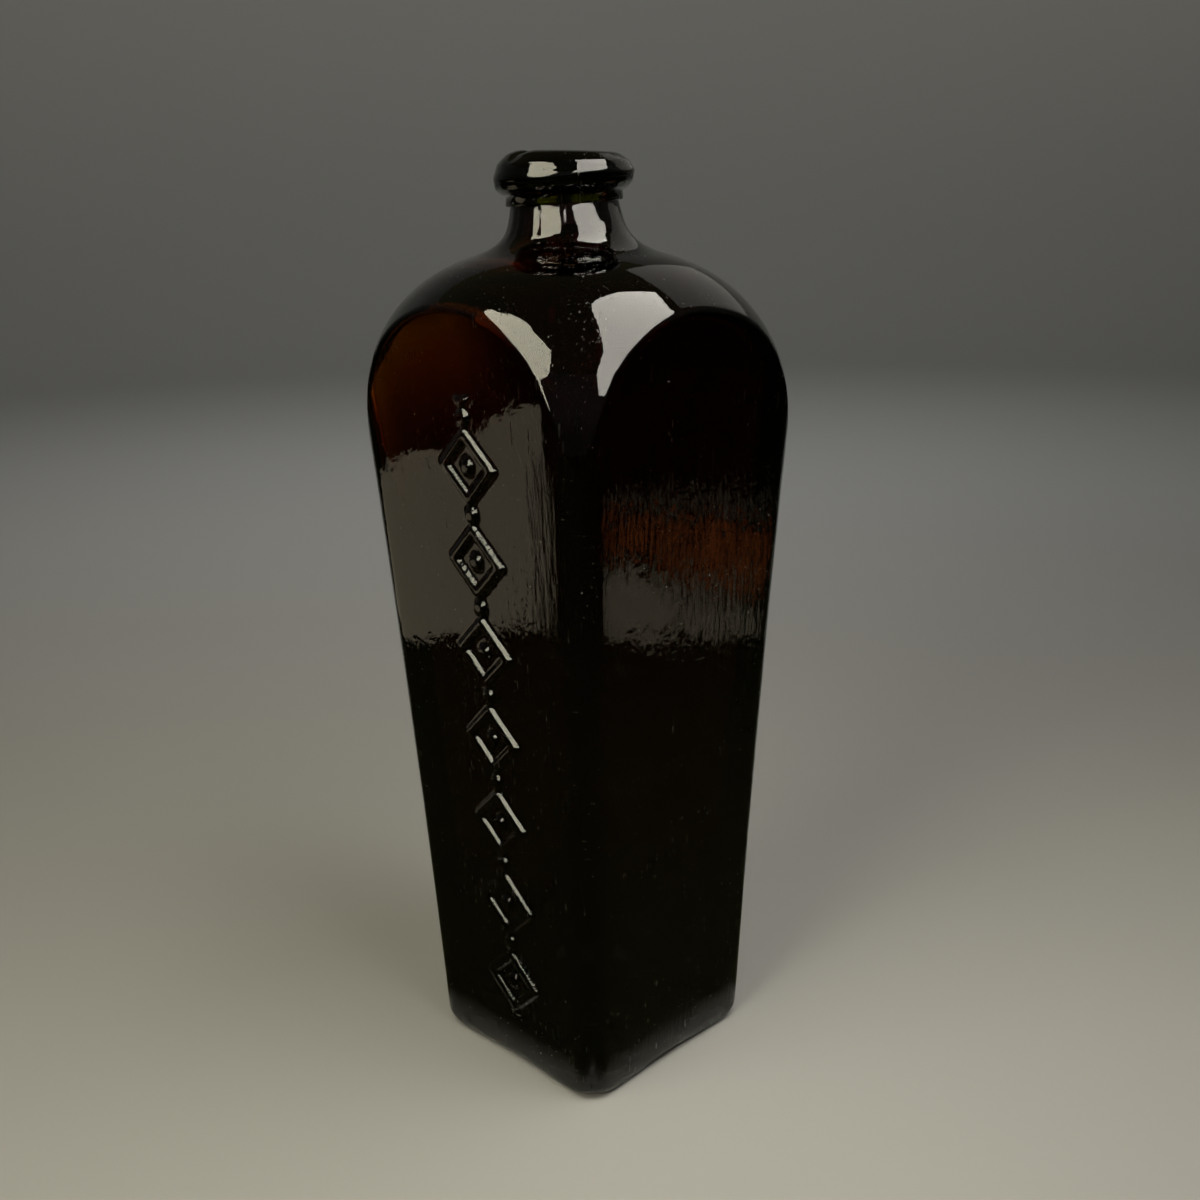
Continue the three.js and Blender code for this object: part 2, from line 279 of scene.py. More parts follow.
class BottleForm:
    """The bottle's surfaces, from the same sizes as its solids."""

    def __init__(self, settings):
        mould, neck = settings.mould, settings.neck
        self.mould, self.neck, self.wall, self.lip = mould, neck, settings.wall, settings.lip
        self.taper = (mould.shoulder_width - mould.base_width) / 2 / mould.shoulder_height
        reach = mould.shoulder_width / 2 - mould.shoulder_corner
        self.dome_radius = reach * math.sqrt(2) + mould.shoulder_corner
        self.lip_level = mould.shoulder_height + neck.dome_rise + neck.neck_rise
        self.lean_way = np.array([math.cos(neck.lean_azimuth), math.sin(neck.lean_azimuth)])
        self.flare_level = self.dome_level(neck.flare_radius, 0)

    def half_width(self, level):
        share = np.clip(level / self.mould.shoulder_height, 0, 1)
        hollow = 4 * self.mould.side_hollow * share * (1 - share)
        return self.mould.base_width / 2 + self.taper * level - hollow

    def box_row(self, columns, level, skin):
        """A row of the box's sides, set in by skin."""
        share = np.clip(level / self.mould.shoulder_height, 0, 1)
        corner = mix(self.mould.base_corner, self.mould.shoulder_corner, share)
        place = columns.square(self.half_width(level) - skin, corner)
        return np.column_stack([place, np.broadcast_to(level, columns.count)])

    def axis(self, level):
        """The dome and neck leave the middle of the box more and more above the shoulder."""
        bend = 1.5
        share = (level - self.mould.shoulder_height) / (self.lip_level - self.mould.shoulder_height)
        shift = self.neck.neck_lean * np.clip(share, 0, 1) ** bend
        return self.lean_way * np.reshape(shift, (-1, 1))

    def round_row(self, direction, radius, level):
        """A row at some radius from the leaning axis. From the flare up it dips towards the lean."""
        dip = math.tan(self.neck.lip_tilt) * smooth_step(level, self.flare_level, self.lip_level)
        place = self.axis(level) + direction * np.reshape(radius, (-1, 1))
        return np.column_stack([place, level - dip * radius * (direction @ self.lean_way)])

    def dome_level(self, radius, skin):
        power = self.neck.dome_fullness
        across = np.clip(radius / (self.dome_radius - skin), 0, 1)
        up = (1 - across ** power) ** (1 / power)
        return self.mould.shoulder_height + (self.neck.dome_rise - skin) * up

    def dome_reach(self, level, skin):
        power = self.neck.dome_fullness
        up = np.clip((level - self.mould.shoulder_height) / (self.neck.dome_rise - skin), 0, 1)
        return (self.dome_radius - skin) * (1 - up ** power) ** (1 / power)

    def shoulder_wall(self, columns):
        """The shoulder's wall at each column: one side of it was blown thinner."""
        place = columns.square(half_width=1.0, corner_radius=0.3)
        facing = np.cos(np.arctan2(place[:, 1], place[:, 0]) - self.wall.thin_azimuth)
        thin = smooth_step(facing, start=0.05, end=0.75)
        return mix(self.wall.thick_shoulder, self.wall.thin_shoulder, thin)

    def edge_level(self, columns, skin):
        """The level where each column leaves the box's side for the dome, found by halving."""
        halvings = 40
        low = np.full(columns.count, self.mould.shoulder_height)
        high = low + self.neck.dome_rise - skin
        for _ in range(halvings):
            middle = (low + high) / 2
            offset = self.box_row(columns, middle, skin)[:, :2] - self.axis(middle)
            inside = np.hypot(*offset.T) < self.dome_reach(middle, skin)
            low, high = np.where(inside, middle, low), np.where(inside, high, middle)
        return low

    def underside_rows(self, columns, skin, floor, arch, steps):
        """From the pushed-up middle out to the feet and round the heel."""
        mould = self.mould
        ball = (mould.push_up_radius ** 2 + mould.push_up_height ** 2) / (2 * mould.push_up_height)
        foot = columns.square(
            self.half_width(0) - skin - mould.heel_inset, mould.base_corner + mould.foot_rounding)
        inner_share = mould.push_up_radius / np.hypot(*foot.T)
        rows = []
        for share in np.linspace(0, 1, steps + 1)[1:]:
            rise = mould.push_up_height - ball + math.sqrt(ball ** 2 - (mould.push_up_radius * share) ** 2)
            place = foot * (inner_share * share)[:, None]
            rows.append(np.column_stack([place, floor + rise + arch * inner_share * share]))
        for share in np.linspace(0, 1, steps + 1)[1:-1]:
            outward = mix(inner_share, 1, share)
            rows.append(np.column_stack([foot * outward[:, None], floor + arch * outward]))
        for turn in np.linspace(0, math.pi / 2, steps + 1):
            inward = 1 - math.sin(turn)
            level = floor + mould.heel_height * (1 - math.cos(turn))
            place = columns.square(
                self.half_width(level) - skin - mould.heel_inset * inward,
                mix(mould.base_corner, mould.shoulder_corner, level / mould.shoulder_height)
                + mould.foot_rounding * inward)
            rows.append(np.column_stack([place, level + arch]))
        return rows

    def neck_rows(self, direction, skin, end_radius, taper, steps):
        """The flare from the dome up to the lip's underside, and on to the neck's end."""
        neck = self.neck
        start_radius = neck.flare_radius - skin
        start = np.stack([start_radius, self.dome_level(start_radius, skin)])
        step_in = 0.001
        slope = np.stack([
            np.full_like(start_radius, -step_in), self.dome_level(start_radius - step_in, skin) - start[1]])
        slope *= neck.flare_reach / np.hypot(*slope)
        end = np.array([[end_radius], [self.lip_level]])
        rising = neck.neck_reach * np.array([[-math.sin(taper)], [math.cos(taper)]])
        way = np.arctan2(direction[:, 1], direction[:, 0])
        ripple = neck.ripple * sum(depth * (np.sin(times_round * way + start_turn) - 1)
                                   for depth, times_round, start_turn in NECK_RIPPLES)
        rows = []
        for share in np.linspace(0, 1, steps + 1)[1:]:
            radius, level = (
                start * (1 - share) ** 3 + (start + slope) * 3 * share * (1 - share) ** 2
                + (end - rising) * 3 * share ** 2 * (1 - share) + end * share ** 3)
            rippled = smooth_step(share, start=0.3, end=0.6) * smooth_step(share, start=1.0, end=0.93)
            rows.append(self.round_row(direction, radius + rippled * ripple, level))
        end_level = np.full(len(direction), self.lip_level + self.lip.lap)
        rows.append(self.round_row(direction, np.full(len(direction), end_radius), end_level))
        return rows

    def glass_rows(self, columns, inside, steps, side_steps):
        """Rows of one surface of the blown glass, from the underside's middle up to the neck's end."""
        mould, wall = self.mould, self.wall
        shoulder_skin = self.shoulder_wall(columns) if inside else np.zeros(columns.count)
        floor = wall.floor if inside else 0.0
        arch = (0.0 if inside else mould.foot_arch_rise) * (1 - columns.along ** 2) ** 2
        edge = self.edge_level(columns, shoulder_skin)

        def skin_at(level):
            """The wall thins from the heel to the waist, and changes again near the arched edge."""
            lower = mix(wall.low, wall.waist, smooth_step(level, start=0.01, end=0.1))
            near_edge = smooth_step(level, start=edge - 0.06, end=edge + 0.006)
            return mix(lower, shoulder_skin, near_edge) if inside else shoulder_skin

        rows = self.underside_rows(columns, skin_at(floor), floor, arch, steps)
        heel_top = rows[-1][:, 2]
        fade_level = floor + mould.foot_arch_fade
        for share in np.linspace(0, 1, steps)[1:-1]:
            level = mix(heel_top, fade_level, share)
            rows.append(self.box_row(columns, level, skin_at(level)))

        for share in np.linspace(0, 1, side_steps + 1):
            level = mix(fade_level, edge - mould.edge_softness, share)
            rows.append(self.box_row(columns, level, skin_at(level)))

        offset = self.box_row(columns, edge, shoulder_skin)[:, :2] - self.axis(edge)
        direction = offset / np.hypot(*offset.T)[:, None]
        dome = self.dome_radius - shoulder_skin

        def dome_row(turn):
            radius = dome * np.cos(turn)
            return self.round_row(direction, radius, self.dome_level(radius, shoulder_skin))

        below, crease = rows[-1], self.box_row(columns, edge, shoulder_skin)
        edge_turn = np.arccos(np.clip(self.dome_reach(edge, shoulder_skin) / dome, -1, 1))
        soft_turn, corrections = mould.edge_softness / dome, 4
        for _ in range(corrections):
            travelled = np.linalg.norm(dome_row(edge_turn + soft_turn) - crease, axis=1)
            soft_turn = soft_turn * mould.edge_softness / travelled
        above = dome_row(edge_turn + soft_turn)
        for share in np.linspace(0, 1, steps)[1:-1]:
            rows.append(below * (1 - share) ** 2 + crease * 2 * share * (1 - share) + above * share ** 2)
        flare_turn = np.arccos((self.neck.flare_radius - shoulder_skin) / dome)
        thickening = np.maximum(wall.dome - shoulder_skin, 0) if inside else np.zeros(columns.count)
        for share in np.linspace(0, 1, 4 * steps + 1):
            turn = mix(edge_turn + soft_turn, flare_turn, share)
            inward = thickening * smooth_step(share, start=0, end=0.3) * smooth_step(share, start=1, end=0.75)
            outward = np.column_stack([direction * np.cos(turn)[:, None], np.sin(turn)])
            rows.append(dome_row(turn) - outward * inward[:, None])

        end_radius = self.neck.bore_radius if inside else self.neck.neck_radius
        taper = 0.0 if inside else self.neck.neck_taper
        return rows + self.neck_rows(direction, shoulder_skin, end_radius, taper, 2 * steps)


# Meshes

def quads_between(first, row_count, column_count):
    """Faces between neighbouring rows, which close round on themselves."""
    low = first + column_count * np.arange(row_count - 1)[:, None]
    column = np.arange(column_count)[None, :]
    following = (column + 1) % column_count
    quads = np.stack([low + column, low + following, low + column_count + following,
                      low + column_count + column], axis=-1)
    return quads.reshape(-1, 4).tolist()


def zip_rings(outer, inner, points):
    """Triangles, facing up, between two rings of points that go the same way round."""
    def turns(ring):
        middle = points[ring].mean(axis=0)
        way = np.unwrap(np.arctan2(points[ring][:, 1] - middle[1], points[ring][:, 0] - middle[0]))
        return np.append(way, way[0] + 2 * math.pi)

    outer_turn, inner_turn = turns(outer), turns(inner)
    inner_turn += 2 * math.pi * round((outer_turn[0] - inner_turn[0]) / (2 * math.pi))
    triangles, i, j = [], 0, 0
    while i < len(outer) or j < len(inner):
        here, there = outer[i % len(outer)], inner[j % len(inner)]
        if j == len(inner) or (i < len(outer) and outer_turn[i + 1] <= inner_turn[j + 1]):
            i += 1
            triangles.append([here, outer[i % len(outer)], there])
        else:
            j += 1
            triangles.append([here, inner[j % len(inner)], there])
    return triangles


def closed_shell(outer, inner):
    """Points and faces of one shell: rows up the outside, then over the neck's end and down inside."""
    outer_count, inner_count = len(outer[0]), len(inner[0])
    points = np.concatenate([*outer, *inner, [outer[0].mean(axis=0)], [inner[-1].mean(axis=0)]])
    bottom, floor = len(points) - 2, len(points) - 1
    inside_start = len(outer) * outer_count
    first_ring, inner_ring = np.arange(outer_count), inside_start + np.arange(inner_count)
    last_ring = inner_ring + (len(inner) - 1) * inner_count
    faces = quads_between(0, len(outer), outer_count)
    faces += quads_between(inside_start, len(inner), inner_count)
    faces += zip_rings(inside_start - outer_count + first_ring, inner_ring, points)
    faces += [[bottom, int(b), int(a)] for a, b in zip(first_ring, np.roll(first_ring, -1))]
    faces += [[floor, int(a), int(b)] for a, b in zip(last_ring, np.roll(last_ring, -1))]
    return points, faces


def new_mesh_object(name, points, faces):
    mesh = bpy.data.meshes.new(name)
    mesh.from_pydata(points.tolist(), [], faces)
    mesh.validate()
    mesh.shade_smooth()
    piece = bpy.data.objects.new(name, mesh)
    bpy.context.scene.collection.objects.link(piece)
    return piece


def set_point_values(piece, **values):
    """Gives each point of the piece a number under each name, for its Geometry Nodes."""
    for name, numbers in values.items():
        places = piece.data.attributes.new(name, "FLOAT", "POINT").data
        places.foreach_set("value", numbers.astype(np.float32))


def even_places(count):
    return np.linspace(-1, 1, count + 1)


def relief_places(form, relief, fine, coarse):
    """Places along the front flat, close together where the relief stands."""
    reach = form.mould.shoulder_width / 2 - form.mould.shoulder_corner
    half_band = relief.lozenge_width / 2 + relief.band
    low, high = (relief.middle - half_band) / reach, (relief.middle + half_band) / reach
    taper_room, farthest = 1.3, 0.9
    low, high = max(low * taper_room, -farthest), min(high * taper_room, farthest)
    steps = round((high - low) * reach / fine)
    return np.concatenate([
        np.linspace(-1, low, round((low + 1) * reach / coarse) + 1)[:-1],
        np.linspace(low, high, steps + 1),
        np.linspace(high, 1, round((1 - high) * reach / coarse) + 1)[1:]])


# Node trees

def add_node(tree, kind, inputs=None, **settings):
    """Adds a node. An input is a socket to link or a value."""
    node = tree.nodes.new(kind)
    for key, value in settings.items():
        setattr(node, key, value)
    for key, value in (inputs or {}).items():
        if isinstance(value, bpy.types.NodeSocket):
            tree.links.new(value, node.inputs[key])
        else:
            node.inputs[key].default_value = value
    return node


def calc(tree, operation, first, second=0.0, third=0.0):
    """The result of a Math node."""
    return add_node(tree, "ShaderNodeMath", {0: first, 1: second, 2: third}, operation=operation).outputs[0]


def product(tree, first, *others):
    """The product of the values, from Math nodes."""
    for other in others:
        first = calc(tree, "MULTIPLY", first, other)
    return first


def ramp(tree, value, start, end, low=0.0, high=1.0, course="SMOOTHSTEP"):
    """value from start to end, made low to high."""
    inputs = {"Value": value, "From Min": start, "From Max": end, "To Min": low, "To Max": high}
    return add_node(tree, "ShaderNodeMapRange", inputs, interpolation_type=course).outputs["Result"]


def geometry_tree(name, labels):
    """A Geometry Nodes tree with an input for each label, and what its Group Input node gives."""
    kinds = {"Glass": "NodeSocketMaterial", "Random": "NodeSocketInt"}
    tree = bpy.data.node_groups.new(name, "GeometryNodeTree")
    tree.interface.new_socket("Geometry", in_out="OUTPUT", socket_type="NodeSocketGeometry")
    tree.interface.new_socket("Geometry", in_out="INPUT", socket_type="NodeSocketGeometry")
    for label in labels:
        tree.interface.new_socket(label, in_out="INPUT", socket_type=kinds.get(label, "NodeSocketFloat"))
    return tree, add_node(tree, "NodeGroupInput").outputs


def scaled(tree, vector, size):
    return add_node(tree, "ShaderNodeVectorMath", {0: vector, "Scale": size}, operation="SCALE").outputs[0]


def attribute(tree, name):
    """A number that the mesh holds at each of its points."""
    return add_node(tree, "GeometryNodeInputNamedAttribute", {"Name": name}, data_type="FLOAT").outputs[0]


def end_tree(tree, geometry, material):
    """Every tree ends in Realize Instances and Set Material."""
    real = add_node(tree, "GeometryNodeRealizeInstances", {"Geometry": geometry})
    painted = add_node(tree, "GeometryNodeSetMaterial", {"Geometry": real.outputs[0], "Material": material})
    add_node(tree, "NodeGroupOutput", {"Geometry": painted.outputs[0]})


def own_settings(group):
    """The properties that a group of settings has of its own."""
    return [item for item in group.bl_rna.properties if item.identifier not in ("rna_type", "name")]


def add_nodes_modifier(piece, tree, material, *groups):
    """Gives the tree's inputs the settings of the same names."""
    values = {item.name: getattr(group, item.identifier) for group in groups for item in own_settings(group)}
    values["Glass"] = material
    modifier = piece.modifiers.new(tree.name, "NODES")
    modifier.node_group = tree
    for item in tree.interface.items_tree:
        if item.in_out == "INPUT" and item.name in values:
            modifier[item.identifier] = values[item.name]


def apply_modifiers(piece):
    """Leaves the piece with the plain mesh that its modifiers make."""
    evaluated = piece.evaluated_get(bpy.context.evaluated_depsgraph_get())
    mesh = bpy.data.meshes.new_from_object(evaluated)
    piece.modifiers.clear()
    piece.data = mesh


def mould_marks_tree():
    """The waves that the mould left in the glass, and the raised lozenges and pellets."""
    tree, given = geometry_tree("Mould marks", (
        "Glass", "Middle", "Bottom", "Top", "Pitch", "Rise", "Lozenge width", "Lozenge height",
        "Band", "Pellet", "Wave size", "Wave depth"))
    pellet_top, band_top, room_below = 0.5, 0.42, 0.9
    place = add_node(tree, "GeometryNodeInputPosition").outputs[0]
    axes = add_node(tree, "ShaderNodeSeparateXYZ", {0: place})
    across = calc(tree, "SUBTRACT", axes.outputs["X"], given["Middle"])
    up = calc(tree, "SUBTRACT", axes.outputs["Z"], given["Bottom"])
    half_pitch = product(tree, given["Pitch"], 0.5)

    def pellet_at(height):
        radius = calc(tree, "SQRT", calc(
            tree, "ADD", calc(tree, "POWER", across, 2.0), calc(tree, "POWER", height, 2.0)))
        return ramp(tree, radius, given["Pellet"], product(tree, given["Pellet"], pellet_top))

    to_lozenge = calc(tree, "PINGPONG", up, half_pitch)
    half_width = product(tree, given["Lozenge width"], 0.5)
    half_height = product(tree, given["Lozenge height"], 0.5)
    share = calc(tree, "ADD", calc(tree, "DIVIDE", calc(tree, "ABSOLUTE", across), half_width),
                 calc(tree, "DIVIDE", to_lozenge, half_height))
    steepness = calc(tree, "SQRT", calc(
        tree, "ADD", calc(tree, "POWER", half_width, -2.0), calc(tree, "POWER", half_height, -2.0)))
    from_line = calc(tree, "ABSOLUTE", calc(tree, "DIVIDE", calc(tree, "SUBTRACT", share, 1.0), steepness))
    half_band = product(tree, given["Band"], 0.5)
    line = ramp(tree, from_line, half_band, product(tree, half_band, band_top), course="LINEAR")
    between = calc(tree, "SUBTRACT", half_pitch, to_lozenge)
    motif = calc(tree, "MAXIMUM", line, calc(tree, "MAXIMUM", pellet_at(to_lozenge), pellet_at(between)))

    above = calc(tree, "GREATER_THAN", up, product(tree, half_pitch, -room_below))
    below = calc(tree, "LESS_THAN", up, calc(tree, "SUBTRACT", given["Top"], given["Bottom"]))
    height = product(tree, motif, above, below, attribute(tree, "front"), given["Rise"])

    waves = add_node(tree, "ShaderNodeTexNoise", {
        "Vector": place, "Scale": calc(tree, "DIVIDE", 1.0, given["Wave size"]), "Detail": 1.0})
    depth = product(tree, waves.outputs[0], attribute(tree, "loose"), given["Wave depth"])
    shift = scaled(tree, add_node(tree, "GeometryNodeInputNormal").outputs[0], calc(
        tree, "SUBTRACT", height, depth))
    moved = add_node(tree, "GeometryNodeSetPosition", {"Geometry": given["Geometry"], "Offset": shift})
    end_tree(tree, moved.outputs[0], given["Glass"])
    return tree


def seeds_tree():
    """Seeds under the outer surface: closed hollows whose faces look into them."""
    tree, given = geometry_tree("Seeds in the glass", (
        "Glass", "Density", "Smallest", "Largest", "Depth", "Draw", "Random"))
    nearly_all = 0.9
    places = add_node(tree, "GeometryNodeDistributePointsOnFaces", {
        "Mesh": given["Geometry"], "Density": given["Density"], "Seed": given["Random"],
        "Selection": calc(tree, "GREATER_THAN", attribute(tree, "seeded"), nearly_all)})
    inward = scaled(tree, places.outputs["Normal"], product(tree, given["Depth"], -1.0))
    sunk = add_node(tree, "GeometryNodeSetPosition", {"Geometry": places.outputs["Points"], "Offset": inward})
    ball = add_node(tree, "GeometryNodeMeshIcoSphere", {"Radius": 1.0, "Subdivisions": 1})
    hollow = add_node(tree, "GeometryNodeFlipFaces", {"Mesh": ball.outputs[0]})
    radius = add_node(tree, "FunctionNodeRandomValue", {
        2: given["Smallest"], 3: given["Largest"], "Seed": given["Random"]}, data_type="FLOAT").outputs[1]
    drawn = add_node(tree, "ShaderNodeCombineXYZ", {
        "X": radius, "Y": radius, "Z": product(tree, radius, given["Draw"])})
    seeds = add_node(tree, "GeometryNodeInstanceOnPoints", {
        "Points": sunk.outputs[0], "Instance": hollow.outputs[0], "Scale": drawn.outputs[0]})
    smooth = add_node(tree, "GeometryNodeSetShadeSmooth", {"Geometry": seeds.outputs[0]})
    joined = add_node(tree, "GeometryNodeJoinGeometry")
    for part in (given["Geometry"], smooth.outputs[0]):
        tree.links.new(part, joined.inputs[0])
    end_tree(tree, joined.outputs[0], given["Glass"])
    return tree


# Materials

def empty_material(name):
    """A material and its node tree, with no nodes in it yet."""
    material = bpy.data.materials.new(name)
    material.use_nodes = True
    material.node_tree.nodes.clear()
    return material, material.node_tree


def object_noise(tree, place, scale, detail=2.0, stretch=(1, 1, 1)):
    """Noise on the piece's own coordinates, so many to the metre along each axis."""
    centred = add_node(tree, "ShaderNodeMapping", {"Vector": place, "Scale": stretch})
    return add_node(tree, "ShaderNodeTexNoise", {
        "Vector": centred.outputs[0], "Scale": scale, "Detail": detail}).outputs[0]


def dark_glass(name, glass, tint, density, streak_height):
    """Dark glass: the colour is in its depth, and the surface has orange peel, fine scuffs, tiny
    pimples and, where streak_height is above 0, streaks that run up the mould."""
    material, tree = empty_material(name)
    place = add_node(tree, "ShaderNodeTexCoord").outputs["Object"]
    axes = add_node(tree, "ShaderNodeSeparateXYZ", {0: place}).outputs

    # Orange peel, coarse and fine, which is flatter on the shoulder
    fine_share = 0.3
    peel = calc(tree, "ADD", object_noise(tree, place, scale=330, detail=1.0), product(
        tree, object_noise(tree, place, scale=1100, detail=1.0), fine_share))
    peel = product(tree, peel, ramp(tree, axes["Z"], start=0.19, end=0.172, low=0.45, high=1.5))

    # Streaks in patches on the flat that faces +X, below the shoulder
    streaks = object_noise(tree, place, scale=60, detail=3.0, stretch=(14, 14, 1.6))
    streak_zone = product(
        tree, ramp(tree, axes["X"], start=0.022, end=0.034), ramp(tree, axes["Z"], start=0.196, end=0.18),
        ramp(tree, object_noise(tree, place, scale=30, detail=1.0), start=0.3, end=0.55))

    # Upright scuffs in patches, and pimples here and there
    scuffs = ramp(tree, object_noise(tree, place, scale=260, stretch=(5, 5, 0.35)), start=0.63, end=0.72)
    scuff_zone = ramp(tree, object_noise(tree, place, scale=34), start=0.42, end=0.62)
    specks = add_node(tree, "ShaderNodeTexVoronoi", {"Vector": place, "Scale": 400.0}).outputs["Distance"]
    pimples = ramp(tree, specks, start=0.10, end=0.02)

    height = calc(tree, "ADD", peel, product(tree, streaks, streak_zone, streak_height))
    height = calc(tree, "ADD", height, product(tree, pimples, glass.pimple_height))
    bump = add_node(tree, "ShaderNodeBump", {"Height": height, "Strength": 1.0, "Distance": glass.peel_depth})
    rough_marks = calc(tree, "MAXIMUM", pimples, product(tree, scuffs, scuff_zone))
    roughness = calc(tree, "MULTIPLY_ADD", rough_marks, glass.scuff_roughness, glass.gloss_roughness)

    surface = add_node(tree, "ShaderNodeBsdfPrincipled", {
        "Base Color": (1, 1, 1, 1), "Roughness": roughness, "IOR": glass.refraction,
        "Transmission Weight": 1.0, "Normal": bump.outputs[0]})
    depth = add_node(tree, "ShaderNodeVolumeAbsorption", {"Color": (*tint, 1), "Density": density})
    add_node(tree, "ShaderNodeOutputMaterial", {"Surface": surface.outputs[0], "Volume": depth.outputs[0]})
    return material


def floor_paint(name, stage, sweep):
    """Matt paint, a little uneven. Up the wall it glows to the eye and in mirrors, but lights nothing."""
    material, tree = empty_material(name)
    place = add_node(tree, "ShaderNodeTexCoord").outputs["Object"]
    darker_share, patches = 0.97, object_noise(tree, place, scale=3)
    darker = [part * darker_share for part in stage.floor_colour]
    tone = add_node(tree, "ShaderNodeMix", {
        "Factor": patches, 6: (*darker, 1), 7: (*stage.floor_colour, 1)}, data_type="RGBA")
    ray = add_node(tree, "ShaderNodeLightPath").outputs
    seen = calc(tree, "MAXIMUM", ray["Is Camera Ray"], calc(
        tree, "MAXIMUM", ray["Is Glossy Ray"], ray["Is Transmission Ray"]))
    up_wall = ramp(tree, add_node(tree, "ShaderNodeSeparateXYZ", {0: place}).outputs["Z"], 0.0, sweep)
    surface = add_node(tree, "ShaderNodeBsdfPrincipled", {
        "Base Color": tone.outputs[2], "Roughness": 0.85, "Specular IOR Level": 0.2,
        "Emission Color": (*stage.glow_colour, 1),
        "Emission Strength": product(tree, seen, up_wall, stage.glow_level)})
    add_node(tree, "ShaderNodeOutputMaterial", {"Surface": surface.outputs[0]})
    return material


# Operators

class AddBlownBody(Operator):
    """Add the blown body: one closed shell of glass with its hollow, relief and seeds"""

    bl_idname = "gin_bottle.add_blown_body"
    bl_label = "Blown Body"

    def execute(self, context):
        settings = context.scene.gin_bottle
        form, glass = BottleForm(settings), settings.glass
        front_flat = relief_places(form, settings.relief, fine=0.00053, coarse=0.0036)
        outer_columns = Columns([even_places(16)] * 3 + [front_flat], corner_steps=12)
        inner_columns = Columns([even_places(14)] * 4, corner_steps=10)
        outer = form.glass_rows(outer_columns, inside=False, steps=9, side_steps=305)
        inner = form.glass_rows(inner_columns, inside=True, steps=5, side_steps=30)[::-1]
        points, faces = closed_shell(outer, inner)
        body = new_mesh_object("blown_glass_body", points, faces)

        # The waves and the seeds fade out at the feet and under the lip
        level, outside = points[:, 2], np.arange(len(points)) < len(outer) * outer_columns.count
        free = smooth_step(level, start=0.001, end=0.006)
        free = free * smooth_step(level, start=form.lip_level, end=form.lip_level - 0.004)
        front = np.zeros(len(points))
        front[outside] = np.tile(outer_columns.front, len(outer))
        loose = free * np.where(outside, 1.0, settings.mould.inner_waves)
        set_point_values(body, loose=loose, front=front, seeded=outside * free)

        material = dark_glass("Body glass", glass, glass.body_tint, glass.body_density, glass.streak_height)
        add_nodes_modifier(body, mould_marks_tree(), material, settings.relief, settings.mould)
        add_nodes_modifier(body, seeds_tree(), material, settings.seeds)
        apply_modifiers(body)
        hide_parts("blown_body")
        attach(body, "root")
        return {"FINISHED"}


def arc(middle, reach, start, end, steps):
    """Points on an arc of an ellipse, from one turn to another."""
    turn = np.linspace(start, end, steps + 1)
    return np.column_stack([middle[0] + reach[0] * np.cos(turn), middle[1] + reach[1] * np.sin(turn)])


def lip_outline(lip, seat, bore):
    """The cut outline of the ring: radius and rise, from its foot out, over the rim and down the bore."""
    rounding, half_turn, quarter_turn = 0.0005, math.pi, math.pi / 2
    under_radius = lip.radius - lip.under_reach
    collar_turn = math.acos((lip.collar_radius - under_radius) / lip.under_reach)
    foot_radius = lip.collar_radius + lip.collar_flare - rounding
    mouth_level = lip.height - lip.mouth_rounding
    return np.concatenate([
        arc((seat + rounding, rounding), (rounding, rounding), half_turn, 1.5 * half_turn, steps=4),
        arc((foot_radius, rounding), (rounding, rounding), -quarter_turn, 0, steps=5),
        arc((under_radius, lip.bulge_level), (lip.under_reach, lip.bulge_level - lip.collar_height),
            -collar_turn, 0, steps=16)[1:],
        arc((lip.rim_radius, lip.bulge_level), (lip.radius - lip.rim_radius, lip.height - lip.bulge_level),
            0, quarter_turn, steps=22)[1:],
        arc((bore + lip.mouth_rounding, mouth_level), (lip.mouth_rounding, lip.mouth_rounding),
            quarter_turn, half_turn, steps=7)[1:],
        np.column_stack([np.full(6, bore), np.linspace(mouth_level, lip.lap, 7)[1:]]),
        np.column_stack([np.linspace(bore, seat, 4)[1:], np.full(3, lip.lap)]),
        np.column_stack([np.full(6, seat), np.linspace(lip.lap, rounding, 8)[1:-1]])])


def lip_rows(form, lip, neck, segments):
    """Rows round the ring, with its tool marks, its uneven height and its chip."""
    seat, chip_reach = neck.neck_radius + lip.seat_gap, 0.15
    turns = np.linspace(0, 2 * math.pi, segments, endpoint=False)
    around = np.column_stack([np.cos(turns), np.sin(turns)])
    from_chip = np.mod(turns - lip.chip_azimuth + math.pi, 2 * math.pi) - math.pi
    chip = lip.chip_depth * np.exp(-(from_chip / chip_reach) ** 2)
    rows = []
    for radius, rise in lip_outline(lip, seat, neck.bore_radius):
        worked = smooth_step(radius, start=seat, end=seat + 0.002)
        marks = sum(depth * (1 + np.sin(times_round * turns + upward * rise + start_turn))
                    for depth, times_round, upward, start_turn in TOOL_MARKS)
        upper = max(rise - lip.bulge_level, 0)
        level = form.lip_level + rise + upper * lip.uneven * np.cos(turns - neck.lean_azimuth)
        level -= chip * smooth_step(upper, start=0.003, end=0.0066)
        rows.append(form.round_row(around, radius - worked * lip.tooling_depth * marks, level))
    return rows


